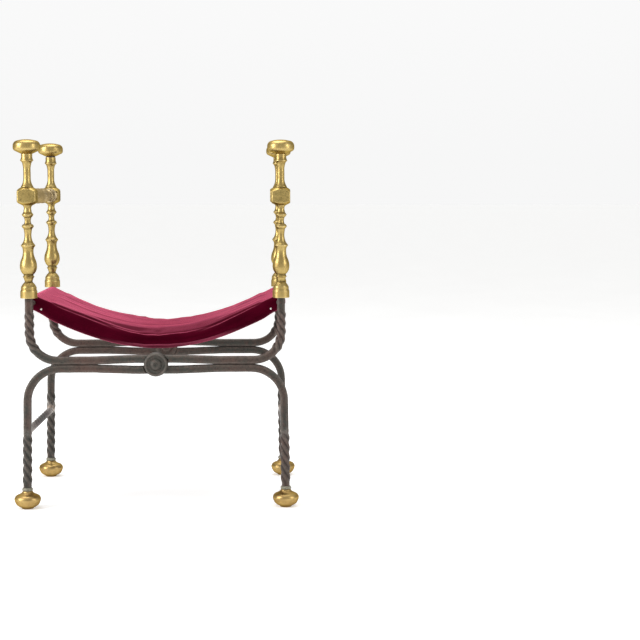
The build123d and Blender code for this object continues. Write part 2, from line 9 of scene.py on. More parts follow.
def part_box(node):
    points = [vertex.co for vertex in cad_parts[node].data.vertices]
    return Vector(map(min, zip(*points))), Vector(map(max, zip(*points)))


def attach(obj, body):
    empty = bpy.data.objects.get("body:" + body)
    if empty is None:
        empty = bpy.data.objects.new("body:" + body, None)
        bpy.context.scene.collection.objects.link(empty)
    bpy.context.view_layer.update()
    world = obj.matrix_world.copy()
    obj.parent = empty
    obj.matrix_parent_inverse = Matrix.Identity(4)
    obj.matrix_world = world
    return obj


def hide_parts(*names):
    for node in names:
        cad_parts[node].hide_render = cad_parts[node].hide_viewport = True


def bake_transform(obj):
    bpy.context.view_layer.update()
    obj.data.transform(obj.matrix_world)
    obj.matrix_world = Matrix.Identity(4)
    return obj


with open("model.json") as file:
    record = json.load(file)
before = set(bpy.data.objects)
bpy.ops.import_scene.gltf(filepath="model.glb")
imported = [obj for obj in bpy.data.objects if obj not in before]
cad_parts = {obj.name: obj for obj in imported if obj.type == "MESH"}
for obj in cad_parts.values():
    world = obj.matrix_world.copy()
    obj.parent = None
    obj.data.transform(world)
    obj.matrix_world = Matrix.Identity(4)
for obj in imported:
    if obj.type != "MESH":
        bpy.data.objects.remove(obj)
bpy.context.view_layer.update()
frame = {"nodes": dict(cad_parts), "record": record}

# Looks of a folding X-frame armchair: wrought-iron bars, turned brass and a velvet sling.
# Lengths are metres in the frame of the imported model. Places come from the frame's nodes.

MM = 0.001
LEFT, RIGHT = -1, 1
FRONT, BACK = -1, 1
UP, DOWN = 1, -1
side_names = {LEFT: "left", RIGHT: "right"}
depth_names = {FRONT: "front", BACK: "back"}
corners = [(side, depth) for depth in (FRONT, BACK) for side in (LEFT, RIGHT)]


def corner_name(side, depth, kind):
    return f"{depth_names[depth]}_{side_names[side]}_{kind}"


def new_object(name, data):
    made = bpy.data.objects.new(name, data)
    bpy.context.scene.collection.objects.link(made)
    return made


def body_of(node):
    bodies = frame["record"]["behaviour"]["bodies"]
    return next(body for body, members in bodies.items() if node in members)


# ---- Camera ----
camera_place = (0.2053, -3.2363, 0.6381)
camera_yaw = 2.293  # degrees to the right of straight ahead
camera_pitch = 4.871  # degrees down
camera_lens = 86.42  # millimetres
camera_sensor = 36.0  # millimetres

camera = new_object("camera", bpy.data.cameras.new("camera"))
camera.location = camera_place
camera.rotation_euler = (radians(90 - camera_pitch), 0, radians(-camera_yaw))
camera.data.lens = camera_lens
camera.data.sensor_width = camera_sensor
bpy.context.scene.camera = camera


# ---- Shader nodes ----
def add_node(tree, kind, **inputs):
    """Adds a node. A value that is a socket is linked, and any other is set."""
    node = tree.nodes.new(kind)
    feed(tree, node, **inputs)
    return node


def feed(tree, node, **inputs):
    for name, value in inputs.items():
        connect(tree, node.inputs[name.replace("_", " ")], value)


def connect(tree, socket, value):
    if isinstance(value, bpy.types.NodeSocket):
        tree.links.new(value, socket)
    else:
        socket.default_value = value


def place(tree):
    return add_node(tree, "ShaderNodeTexCoord").outputs["Object"]


def stretched(tree, scale):
    """Object coordinates, scaled along each axis."""
    return add_node(tree, "ShaderNodeMapping", Vector=place(tree), Scale=scale).outputs[0]


def cloud(tree, scale, detail=4.0, vector=None, roughness=0.55):
    """Noise from 0 to 1 with so many waves to a metre."""
    node = add_node(tree, "ShaderNodeTexNoise", Vector=vector or place(tree), Scale=scale)
    feed(tree, node, Detail=detail, Roughness=roughness)
    return node.outputs[0]


def attributes(tree, *names):
    """The marks of those names on the mesh."""
    nodes = [tree.nodes.new("ShaderNodeAttribute") for _ in names]
    for node, name in zip(nodes, names):
        node.attribute_name = name
    return [node.outputs["Fac"] for node in nodes]


def reckon(tree, operation, first, second=0.0, third=0.0):
    node = tree.nodes.new("ShaderNodeMath")
    node.operation = operation
    node.use_clamp = True
    for socket, value in zip(node.inputs, (first, second, third)):
        connect(tree, socket, value)
    return node.outputs[0]


def spread(tree, value, low, high, start=0.0, end=1.0):
    """Maps low..high of a value to start..end, and holds it there outside."""
    node = add_node(tree, "ShaderNodeMapRange", Value=value, From_Min=low, From_Max=high)
    feed(tree, node, To_Min=start, To_Max=end)
    return node.outputs[0]


def mix(tree, share, first, second):
    """Blends two colours. Share 0 is the first."""
    node = tree.nodes.new("ShaderNodeMix")
    node.data_type = "RGBA"
    for index, value in ((0, share), (6, first), (7, second)):
        if isinstance(value, tuple):
            value = (*value, 1.0)
        connect(tree, node.inputs[index], value)
    return node.outputs[2]


def layered(tree, tone, layers):
    """Lays colours over a tone, each where its noise rises from low to high, up to a share."""
    for value, low, high, share, colour in layers:
        tone = mix(tree, spread(tree, value, low, high, 0.0, share), tone, colour)
    return tone


def bump(tree, height, depth, normal=None):
    """A bump of so many metres."""
    node = add_node(tree, "ShaderNodeBump", Height=height, Distance=depth)
    if normal:
        connect(tree, node.inputs["Normal"], normal)
    return node.outputs[0]


def new_finish(name):
    """A material, its node tree and its Principled shader."""
    material = bpy.data.materials.new(name)
    material.use_nodes = True
    tree = material.node_tree
    return material, tree, tree.nodes["Principled BSDF"]


# ---- Finishes ----
ruddy_fade = (0.045, 0.060)  # heights between which the feet's ruddy brass turns olive


def brass_finish():
    """Satin brass, olive-brown in its grooves, brighter on its worn edges, ruddy on the feet."""
    material, tree, shader = new_finish("aged_brass")
    groove, edge, cast, pale = attributes(tree, "groove", "edge", "cast", "pale")
    blotch = cloud(tree, 38.0, 5.0)
    fine = cloud(tree, 420.0, 6.0)
    grime = cloud(tree, 150.0, 6.0, roughness=0.7)
    height = add_node(tree, "ShaderNodeSeparateXYZ", Vector=place(tree)).outputs[2]
    patches = spread(tree, blotch, 0.35, 0.68)
    olive = mix(tree, patches, (0.465, 0.344, 0.125), (0.345, 0.243, 0.083))
    ruddy = mix(tree, patches, (0.475, 0.326, 0.117), (0.31, 0.188, 0.070))
    tone = mix(tree, spread(tree, height, *ruddy_fade), ruddy, olive)
    tone = layered(tree, tone, [(fine, 0.50, 0.80, 0.5, (0.28, 0.205, 0.085))])
    tone = mix(tree, pale, tone, (0.52, 0.45, 0.36))
    rough_face = reckon(tree, "MULTIPLY", cast, spread(tree, grime, 0.36, 0.62))
    tone = mix(tree, reckon(tree, "MULTIPLY", rough_face, 0.75), tone, (0.21, 0.165, 0.060))
    stain = reckon(tree, "MULTIPLY_ADD", groove, 0.95, spread(tree, grime, 0.50, 0.78, 0.0, 0.45))
    stain = reckon(tree, "MULTIPLY", stain, spread(tree, blotch, 0.25, 0.5, 0.65, 1.0))
    tone = mix(tree, stain, tone, (0.100, 0.070, 0.026))
    tone = mix(tree, reckon(tree, "MULTIPLY", edge, 0.45), tone, (0.66, 0.52, 0.25))
    gloss = spread(tree, grime, 0.3, 0.75, 0.32, 0.44)
    gloss = reckon(tree, "MULTIPLY_ADD", stain, 0.30, gloss)
    gloss = reckon(tree, "MULTIPLY_ADD", rough_face, 0.18, gloss)
    waves = bump(tree, cloud(tree, 90.0, 2.0), 0.18 * MM)
    pits = bump(tree, grime, 0.05 * MM, waves)
    casting = bump(tree, reckon(tree, "MULTIPLY", rough_face, fine), 0.4 * MM, pits)
    feed(tree, shader, Base_Color=tone, Metallic=1.0, Roughness=gloss, Normal=casting)
    feed(tree, shader, Specular_Tint=(0.50, 0.42, 0.28, 1.0))
    return material


def iron_finish():
    """Mottled hammered iron, brown-grey with rust, green-grey scale and rubbed edges."""
    material, tree, shader = new_finish("wrought_iron")
    edge, weld, dip = attributes(tree, "edge", "weld", "dip")
    heat = cloud(tree, 9.0, 3.0)
    blotch = cloud(tree, 60.0, 5.0, roughness=0.65)
    scale = cloud(tree, 270.0, 6.0, roughness=0.7)
    rust = cloud(tree, 120.0, 6.0, roughness=0.75)
    speck = cloud(tree, 420.0, 5.0, roughness=0.7)
    tone = mix(tree, spread(tree, heat, 0.43, 0.56), (0.038, 0.038, 0.031), (0.080, 0.046, 0.036))
    layers = [
        (blotch, 0.40, 0.66, 0.5, (0.036, 0.033, 0.028)),
        (rust, 0.50, 0.70, 0.7, (0.095, 0.040, 0.029)),
        (scale, 0.50, 0.68, 0.8, (0.016, 0.014, 0.012)),
        (speck, 0.58, 0.74, 0.5, (0.140, 0.117, 0.100)),
    ]
    tone = layered(tree, tone, layers)
    tone = mix(tree, reckon(tree, "MULTIPLY", dip, 0.9), tone, (0.011, 0.010, 0.009))
    rubbed = reckon(tree, "MULTIPLY", edge, spread(tree, rust, 0.36, 0.60, 0.2, 0.8))
    tone = mix(tree, rubbed, tone, (0.125, 0.103, 0.088))
    patchy = reckon(tree, "MULTIPLY", weld, spread(tree, scale, 0.44, 0.56, 0.1, 1.0))
    tone = mix(tree, patchy, tone, (0.50, 0.45, 0.41))
    gloss = spread(tree, scale, 0.3, 0.7, 0.36, 0.66)
    dents = bump(tree, cloud(tree, 120.0, 3.0), 0.9 * MM)
    pits = bump(tree, scale, 0.5 * MM, dents)
    feed(tree, shader, Base_Color=tone, Metallic=0.40, Roughness=gloss, Normal=pits)
    feed(tree, shader, Specular_IOR_Level=0.4)
    return material


def dull_metal_finish(name, light, dark, gloss, metallic):
    """Uneven soft metal, such as solder, filed weld or a plated tack."""
    material, tree, shader = new_finish(name)
    grain = cloud(tree, 260.0, 6.0, roughness=0.7)
    tone = mix(tree, spread(tree, grain, 0.35, 0.68), light, dark)
    gloss = spread(tree, grain, 0.3, 0.7, gloss, gloss + 0.2)
    pits = bump(tree, grain, 0.4 * MM)
    feed(tree, shader, Base_Color=tone, Metallic=metallic, Roughness=gloss, Normal=pits)
    return material


def velvet_finish():
    """Crimson velvet: dark where it is seen along its pile, pink at a glance."""
    material, tree, shader = new_finish("velvet")
    brushed = cloud(tree, 1.0, 4.0, stretched(tree, (4.0, 26.0, 16.0)))
    pile = cloud(tree, 900.0, 2.0)
    crushed = cloud(tree, 20.0, 4.0)
    streaks = spread(tree, brushed, 0.36, 0.66)
    tone = mix(tree, streaks, (0.034, 0.0006, 0.0050), (0.060, 0.0012, 0.0085))
    layers = [
        (crushed, 0.45, 0.75, 0.5, (0.024, 0.0004, 0.0035)),
        (pile, 0.4, 0.7, 0.35, (0.012, 0.0003, 0.0020)),
    ]
    tone = layered(tree, tone, layers)
    dullness = spread(tree, pile, 0.3, 0.7, 0.75, 0.95)
    nap = bump(tree, pile, 0.12 * MM, bump(tree, brushed, 0.25 * MM))
    feed(tree, shader, Base_Color=tone, Roughness=dullness, Specular_IOR_Level=0.0, Normal=nap)
    feed(tree, shader, Sheen_Weight=1.0, Sheen_Roughness=0.30, Sheen_Tint=(1.0, 0.20, 0.34, 1.0))
    return material


# Name, light and dark colour, least roughness and metallic share.
dull_metals = [
    ("solder", (0.27, 0.255, 0.19), (0.085, 0.078, 0.055), 0.5, 0.1),
    ("weld_metal", (0.46, 0.38, 0.32), (0.20, 0.16, 0.13), 0.45, 0.5),
    ("tack_steel", (0.75, 0.72, 0.68), (0.42, 0.38, 0.34), 0.28, 0.9),
]
finishes = {"aged_brass": brass_finish(), "wrought_iron": iron_finish(), "velvet": velvet_finish()}
finishes.update((row[0], dull_metal_finish(*row)) for row in dull_metals)
slots = {part["node"]: part["material_slot"] for part in frame["record"]["subparts"]}


# ---- Meshes ----
def rough(point, waves, seed=0.0):
    """Smooth noise of about -1 to 1 with so many waves to a metre."""
    return noise.noise(Vector(point) * waves + Vector((seed, seed * 1.7, -seed)))


def add_piece(name, points, faces, marks, nodes):
    """A smooth mesh with its wear marks, in place of some nodes."""
    mesh = bpy.data.meshes.new(name)
    mesh.from_pydata([tuple(point) for point in points], [], faces)
    for mark, values in marks.items():
        layer = mesh.attributes.new(mark, "FLOAT", "POINT")
        layer.data.foreach_set("value", np.asarray(values, np.float32))
    mesh.polygons.foreach_set("use_smooth", [True] * len(mesh.polygons))
    mesh.materials.append(finishes[slots[nodes[0]]])
    mesh.validate()
    mesh.update()
    piece = new_object(name, mesh)
    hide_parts(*nodes)
    return piece


def add_rigid(kind, node, points, faces, marks):
    """A piece that replaces one node and rides on its body."""
    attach(add_piece(f"{node}_{kind}", points, faces, marks, [node]), body_of(node))


def bell(value, width):
    return np.exp(-((value / width) ** 2))


def tube_faces(rings, around):
    """Quads between rings of points, and one face over each end."""
    faces = []
    last = (rings - 1) * around
    for here in range(0, last, around):
        above = here + around
        for step in range(around):
            after = (step + 1) % around
            faces.append((here + step, here + after, above + after, above + step))
    return faces + [tuple(reversed(range(around))), tuple(range(last, last + around))]


def turned_over(faces):
    return [tuple(reversed(face)) for face in faces]


def smoothed(values, reach):
    """A running mean that leaves both ends where they are."""
    out = values.copy()
    for index in range(1, len(values) - 1):
        near = min(reach, index, len(values) - 1 - index)
        out[index] = values[index - near : index + near + 1].mean(axis=0)
    return out


def run_along(line):
    """Each point's distance from the start of a line."""
    return np.concatenate([[0], np.cumsum(np.linalg.norm(np.diff(line, axis=0), axis=1))])


def resampled(line, step):
    """Points a step apart along a line."""
    line = np.asarray(line, float)
    run = run_along(line)
    count = max(2, ceil(run[-1] / step) + 1)
    at = np.linspace(0, run[-1], count)
    return np.column_stack([np.interp(at, run, line[:, column]) for column in (0, 1)])


def curvature(line, reach, depth):
    """How far each point stands out of the line through its neighbours, as -1 to 1."""
    out = np.zeros(len(line))
    for index in range(1, len(line) - 1):
        near = min(reach, index, len(line) - 1 - index)
        before, after = line[index - near], line[index + near]
        along = after - before
        span = np.linalg.norm(along) or 1.0
        away = line[index] - (before + after) / 2
        out[index] = (away[0] * along[1] - away[1] * along[0]) / span
    return np.clip(out / depth, -1, 1)


# ---- Turned pieces ----
fine_step = 0.35 * MM
ring_step = 1.4 * MM  # most between two rings
ring_tolerance = 0.03 * MM
ring_reach = 18  # fine steps from a ring's crest down its flanks
crest_reach = 6  # fine steps within which nothing stands higher than the crest
ring_stand = 3.0 * MM  # least that a ring stands out
flank_slope = 0.70  # steepest fall of a ring's flanks
turned_sides = 56
turned_wobble = 0.05 * MM
worn_reach = 1  # fine steps over which sharp corners are rubbed round
outline_grain = 0.02 * MM  # sizes are read from the CAD to this grain
ledge_grains = 5  # a level whose ends are closer than this is one point
bore_margin = 0.05 * MM  # points this close to the bore belong to it
level_margin = 0.01 * MM
turned_waves = (60, 210)  # coarse and fine unevenness, in waves to a metre
calm_radius = 4.0 * MM  # unevenness fades towards the axis inside this
groove_span = (5, 0.8 * MM)  # fine steps and depth of a sharp groove or edge
hollow_span = (16, 2.8 * MM)  # fine steps and depth of a broad hollow
foot_belly = 2.0 * MM  # fullness of the feet below their widest part
foot_belly_height = 6.0 * MM


def mesh_points(mesh):
    return np.array([tuple(vertex.co) for vertex in mesh.vertices])


def middle(node):
    low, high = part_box(node)
    return (low + high) / 2


def outline_of(node, axis, bore, way=1, above=None):
    """Radius and height up the outside of a turned CAD piece.

    The height is measured along the axis, or against it where way is -1.
    """
    points, centre = mesh_points(frame["nodes"][node].data), middle(node)
    across = [index for index in range(3) if index != axis]
    radii = np.hypot(*(points[:, index] - centre[index] for index in across))
    heights = points[:, axis] * way
    kept = (radii > bore + bore_margin) | (heights > heights.max() - level_margin)
    if above is not None:
        kept &= heights > above - level_margin
    pairs = np.column_stack([heights, radii])[kept]
    pairs = np.unique(np.round(pairs / outline_grain), axis=0)
    line = []
    for height in np.unique(pairs[:, 0]):
        level = pairs[pairs[:, 0] == height][:, 1]
        ends = [level.min(), level.max()]
        if ends[1] - ends[0] < ledge_grains:
            ends = ends[1:]
        elif line and abs(line[-1][0] - ends[0]) > abs(line[-1][0] - ends[1]):
            ends.reverse()
        line += [(radius, height) for radius in ends]
    return np.array(line) * outline_grain


def fuller(line):
    """The outline with the flanks of its sharp rings filled towards straight slopes."""
    fine = resampled(line, fine_step)
    radii = fine[:, 0]
    filled = radii.copy()
    for crest in range(ring_reach, len(fine) - ring_reach):
        below = radii[crest - ring_reach : crest]
        above = radii[crest + 1 : crest + ring_reach + 1]
        beside = max(below[-crest_reach:].max(), above[:crest_reach].max())
        stand = radii[crest] - max(below.min(), above.min())
        if radii[crest] >= beside and stand > ring_stand:
            near = slice(crest - ring_reach, crest + ring_reach + 1)
            away = np.abs(fine[near, 1] - fine[crest, 1])
            filled[near] = np.maximum(filled[near], radii[crest] - flank_slope * away)
    return np.column_stack([filled, fine[:, 1]])


def worn_outline(line, reach=worn_reach):
    """The outline with its corners rubbed round, in as few points as keep its shape."""
    fine = smoothed(resampled(line, fine_step), reach)
    kept = [0]
    for index in range(2, len(fine)):
        start, span = fine[kept[-1]], fine[index] - fine[kept[-1]]
        between = fine[kept[-1] + 1 : index] - start
        off = np.abs(between[:, 0] * span[1] - between[:, 1] * span[0]).max()
        length = np.linalg.norm(span)
        if off > ring_tolerance * length or length > ring_step:
            kept.append(index - 1)
    return fine[[*kept, len(fine) - 1]]


def turned_marks(line):
    """Dirt in the hollows of an outline, and shine on its crests."""
    fine = resampled(line, fine_step)
    run = run_along(line)
    at = run / run[-1] * (len(fine) - 1)
    sharp, broad = curvature(fine, *groove_span), curvature(fine, *hollow_span)
    groove = np.clip(np.clip(-sharp - 0.1, 0, 1) + 0.5 * np.clip(-broad - 0.2, 0, 1), 0, 1)
    steps = np.arange(len(fine))
    return np.interp(at, steps, groove), np.interp(at, steps, np.clip(sharp, 0, 1))


def turned_rings(line, centre, axis, way, seed, wobble, sides, reach_at=None):
    """Rings of points round an axis through a centre, one for each point of a line."""
    coarse, fine = turned_waves
    points = []
    for radius, height in line:
        for step in range(sides):
            turn = 2 * pi * step / sides
            ray = (cos(turn), sin(turn))
            full = reach_at(turn, height, radius) if reach_at else radius
            spot = (ray[0] * full, ray[1] * full, height)
            out = wobble * (rough(spot, coarse, seed) + 0.5 * rough(spot, fine, seed))
            full = max(0.0, full + out * min(1.0, full / calm_radius))
            if axis == 2:
                points.append((centre[0] + ray[0] * full, centre[1] + ray[1] * full, height))
            else:
                point = (centre[0] + way * ray[1] * full, way * height, centre[2] + ray[0] * full)
                points.append(point)
    return points


def turned_shell(line, centre, axis=2, way=1, seed=1.0, wobble=turned_wobble, sides=turned_sides):
    """Points, faces and marks of a piece turned about an axis."""
    points = turned_rings(line, centre, axis, way, seed, wobble, sides)
    groove, edge = turned_marks(line)
    marks = {"groove": np.repeat(groove, sides), "edge": np.repeat(edge, sides)}
    return points, tube_faces(len(line), sides), marks


def add_turned(
    node,
    axis=2,
    bore=0.0,
    seed=1.0,
    wobble=turned_wobble,
    way=1,
    start=(),
    end=(),
    reach=worn_reach,
    belly=0.0,
    **stains,
):
    """Replaces a turned CAD node.

    Start and end are points put before and after its outline. Stains are marks with one value.
    """
    line = np.array([*start, *outline_of(node, axis, bore, way), *end])
    if slots[node] == "aged_brass" and axis == 2:
        line = fuller(line)
    line[:, 0] += belly * bell(line[:, 1] - foot_belly_height, foot_belly_height)
    line = worn_outline(line, reach)
    points, faces, marks = turned_shell(line, middle(node), axis, way, seed, wobble)
    marks.update((mark, [value] * len(points)) for mark, value in stains.items())
    add_rigid("turned", node, points, faces, marks)


def joined(shells):
    """One set of points, faces and marks from several."""
    points, faces, marks = [], [], {}
    for shell_points, shell_faces, shell_marks in shells:
        offset = len(points)
        points += list(shell_points)
        faces += [tuple(corner + offset for corner in face) for face in shell_faces]
        for mark, values in shell_marks.items():
            marks.setdefault(mark, []).extend(values)
    return points, faces, marks


core_bore = 5.2 * MM
tenon_bore = 4.7 * MM
foot_worn_reach = 7
spindle_paleness = 0.45
socket_lip = 2.0 * MM  # wall of the socket round its mouth
socket_recess = 4.0 * MM
core_cover = 9.0 * MM  # radius inside the iron bar where the recess ends

for index, (side, depth) in enumerate(corners):
    node = corner_name(side, depth, "baluster")
    low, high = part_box(node)
    mouth = (high.x - low.x) / 2
    recess = [
        (core_cover, low.z + socket_recess),
        (mouth - socket_lip, low.z + socket_recess),
        (mouth - socket_lip * 0.7, low.z),
    ]
    add_turned(node, bore=core_bore, seed=3.1 * index, start=recess)
    add_turned(corner_name(side, depth, "knob"), bore=core_bore, seed=20 + 3.1 * index)
    add_turned(
        corner_name(side, depth, "foot"),
        bore=tenon_bore,
        seed=40 + 3.1 * index,
        reach=foot_worn_reach,
        belly=foot_belly,
    )
add_turned("back_left_knob_spacer", bore=core_bore, seed=61.0)
for side in (LEFT, RIGHT):
    add_turned(f"{side_names[side]}_arm_spindle", axis=1, seed=70.0 + side, pale=spindle_paleness)
    add_turned(f"{side_names[side]}_seat_rail", axis=1, seed=80.0 + side)

# ---- Cube blocks with their columns ----
block_height = 35.5 * MM
block_base_radius = 10.2 * MM
base_slope = 0.5  # fall of the block's lower turned shoulder
top_slope = 0.65
block_squareness = 22  # power of the rounded square; higher is sharper
block_blend = 0.35 * MM  # rounding where the shoulders meet the faces
block_levels = 52
block_sides = 96
block_wobble = 0.14 * MM
column_margin = 0.5 * MM  # the column's outline is read from this far above the block
rub_width = 0.9 * MM  # shine along the block's arrises
rim_width = 1.6 * MM  # darker band at the block's bottom and top
cast_margin = 0.5 * MM  # the rough cast faces begin this far inside the arrises
corner_narrowness = 9  # higher makes the upright edges' shine narrower


def rounded_square(turn, half, power):
    return half / (abs(cos(turn)) ** power + abs(sin(turn)) ** power) ** (1 / power)


def add_block(side, depth):
    node = corner_name(side, depth, "block")
    low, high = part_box(node)
    half = (high.x - low.x) / 2
    top = low.z + block_height
    column = worn_outline(outline_of(node, 2, core_bore, above=top + column_margin))
    foot_radius = column[0][0]
    levels = np.linspace(low.z, top, block_levels)

    def shoulder(height):
        below = block_base_radius + (height - low.z) / base_slope
        return min(below, foot_radius + (top - height) / top_slope)

    def reach_at(turn, height, radius):
        if height > top:
            return radius
        square = rounded_square(turn, half, block_squareness)
        sharp = min(square, shoulder(height))
        return sharp - block_blend * np.exp(-abs(square - shoulder(height)) / block_blend)

    def by_level(values):
        """Values listed upright line by upright line, put in the order of the rings."""
        return np.array(values).reshape(sides, len(levels)).T.ravel()

    sides = block_sides
    seed = 90.0 + side + 2 * depth
    line = np.array([*((half, level) for level in levels), *column])
    points = turned_rings(line, middle(node), 2, 1, seed, block_wobble, sides, reach_at)
    column_groove, column_edge = turned_marks(column)
    groove, edge, cast = [], [], []
    for turn in [2 * pi * step / sides for step in range(sides)]:
        square = rounded_square(turn, half, block_squareness)
        corner = max(0.0, 1 - abs(abs(cos(turn)) - abs(sin(turn))) * corner_narrowness)
        for level in levels:
            gap = square - shoulder(level)
            rub = np.exp(-abs(gap) / rub_width)
            groove.append(max(0.0, 1 - min(level - low.z, top - level) / rim_width))
            edge.append(max(0.35 * rub, 0.5 * corner * (gap < 0)))
            cast.append(float(gap < -cast_margin) * (1 - corner))
    marks = {
        "groove": np.concatenate([by_level(groove), np.repeat(column_groove, sides)]),
        "edge": np.concatenate([by_level(edge), np.repeat(column_edge, sides)]),
        "cast": np.concatenate([by_level(cast), np.zeros(len(column) * sides)]),
    }
    add_rigid("turned", node, points, tube_faces(len(line), sides), marks)


for side, depth in corners:
    add_block(side, depth)


# ---- Iron bars ----
half_depth = middle("front_left_knob").y * FRONT
pivot_height = middle("front_pivot_washer").z
arm_reach = middle("front_right_knob").x
leg_reach = middle("front_right_foot").x
socket_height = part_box("front_left_baluster")[0].z
foot_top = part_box("front_left_foot")[1].z
bar_half = 7.8 * MM
rest_offset = 7.95 * MM  # centre line off the pivot's level where the bars lie together
eye_radius = 24.0 * MM
eye_worn = 1.0 * MM  # chamfer round the eye's rims
eye_inset = 0.4 * MM  # the bar inside the eye stays this far under the eye's faces
eye_waves = 90  # dents to a metre
eye_dent = 0.3 * MM
eye_sides = 72
eye_shine = 0.6
eye_offset = 10.9 * MM
level_run = 45.0 * MM
join_reach = 125.0 * MM
lap_radius = 24.3 * MM
lap_gap = 0.15 * MM
rivet_bore = 6.05 * MM
leg_lean = radians(0.92)
arm_sizes = {"bend": 54.0 * MM, "lean": 0.0, "plain": 27.0 * MM, "quarter": 16.5 * MM}
leg_sizes = {"bend": 66.0 * MM, "lean": leg_lean, "plain": 13.0 * MM, "quarter": 20.0 * MM}
arm_quarters = 5
leg_quarters = {FRONT: 5, BACK: 7}
station_step = 1.5 * MM
bar_sides = 24
bar_squareness = 6.0  # power of the rounded square where the bar is plain
twist_squareness = 5.4
twist_swell = 0.1 * MM  # added to a twisted bar for each unit of squareness lost
turning_reach = 6  # stations over which the rate of the twist is evened out
bend_reach = 4  # stations over which the centre line's corners are rounded
dent_waves = (75, 230)  # coarse and fine hammer marks, in waves to a metre
fine_dents = 0.45  # share of the fine hammer marks
edge_start = 0.55  # how near a corner its shine starts, from 0 at a face to 1
arm_end = 3.5 * MM  # length of bar inside the socket's mouth
leg_end = 1.0 * MM
hammer_depth = 0.26 * MM
weld_stain = 19.0 * MM  # reach of the light patch on a leg beside a stretcher
stretcher_height = middle("left_stretcher").z


def limb_stations(way, depth):
    """Centre line of half a bar from its outer end to the pivot: u out, v up or down, twist."""
    sizes = arm_sizes if way == UP else leg_sizes
    reach = arm_reach if way == UP else leg_reach
    rise = socket_height - pivot_height if way == UP else pivot_height - foot_top
    quarters = arm_quarters if way == UP else leg_quarters[depth]
    bend, lean, plain = sizes["bend"], sizes["lean"], sizes["plain"]
    bend_top = rest_offset + bend * (1 - sin(lean))
    turn_u = reach - (rise - bend_top) * tan(lean) - bend * cos(lean)
    straight = (rise - bend_top) / cos(lean)
    arc = bend * (pi / 2 - lean)
    stations = []
    for back in np.arange(-(arm_end if way == UP else leg_end), straight + arc, station_step):
        twist = min(max(back - plain, 0) / sizes["quarter"], quarters) * pi / 2
        if back <= straight:
            stations.append((reach - back * sin(lean), rise - back * cos(lean), twist))
        else:
            turn = lean + (back - straight) / bend
            point = (turn_u + bend * cos(turn), rest_offset + bend * (1 - sin(turn)))
            stations.append((*point, twist))
    level = [
        (turn_u, rest_offset),
        (join_reach, rest_offset),
        (level_run, eye_offset),
        (0, eye_offset),
    ]
    stations += [(u, v, quarters * pi / 2) for u, v in resampled(level, station_step)]
    stations = np.array(stations)
    stations[:, :2] = smoothed(stations[:, :2], bend_reach)
    return stations


def swept_square(centres, aheads, twists, first_across, half, seed, hammer):
    """Rings of a square bar along a line, with hammer marks, and the marks of its corners."""
    points, edge, dip = [], [], []
    coarse, fine = dent_waves
    softening = twist_squareness - bar_squareness
    turning = smoothed(np.abs(np.gradient(twists)), turning_reach)
    powers = bar_squareness + softening * turning / max(turning.max(), 1e-9)
    for centre, ahead, twist, power in zip(centres, aheads, twists, powers):
        across = np.array(first_across) * cos(twist) + np.cross(ahead, first_across) * sin(twist)
        upward = np.cross(ahead, across)
        for step in range(bar_sides):
            turn = 2 * pi * step / bar_sides
            reach = rounded_square(turn, half, power) + twist_swell * (bar_squareness - power)
            ray = across * cos(turn) + upward * sin(turn)
            spot = centre + ray * reach
            dent = rough(spot, coarse, seed) + fine_dents * rough(spot, fine, seed)
            points.append(spot + ray * dent * hammer)
            corner = abs(sin(2 * turn))
            twisted = (power - bar_squareness) / softening
            edge.append(max(0.0, corner - edge_start) / (1 - edge_start) * (0.75 + 0.5 * dent))
            dip.append(max(0.0, 1 - corner * 1.6) * twisted)
    return points, edge, dip


def limb_shell(side, way, depth, outer_eye, seed):
    """Half a bar, cut down to half its depth where it is lapped at the eye."""
    stations = limb_stations(way, depth)
    depths = np.full(len(stations), depth * half_depth)
    heights = pivot_height + way * stations[:, 1]
    centres = np.column_stack([side * stations[:, 0], depths, heights])
    aheads = -np.gradient(centres, axis=0)
    aheads /= np.linalg.norm(aheads, axis=1)[:, None]
    points, edge, dip = swept_square(
        centres, aheads, stations[:, 2], (0, 1, 0), bar_half, seed, hammer_depth
    )
    weld = []
    for point in points:
        from_pivot = np.hypot(point[0], point[2] - pivot_height)
        if from_pivot < lap_radius:
            outward = (point[1] - depth * half_depth) * depth
            skin = bar_half - (eye_inset if from_pivot < eye_radius - eye_worn else 0)
            limits = (lap_gap, skin) if outer_eye else (-skin, -lap_gap)
            point[1] = depth * (half_depth + min(max(outward, limits[0]), limits[1]))
        joint = (side * leg_reach, depth * (half_depth - bar_half), stretcher_height)
        near = np.linalg.norm(point - np.array(joint)) if way == DOWN else 1.0
        weld.append(max(0.0, 1 - near / weld_stain))
    faces = turned_over(tube_faces(len(stations), bar_sides))
    return points, faces, {"edge": edge, "weld": weld, "dip": dip}


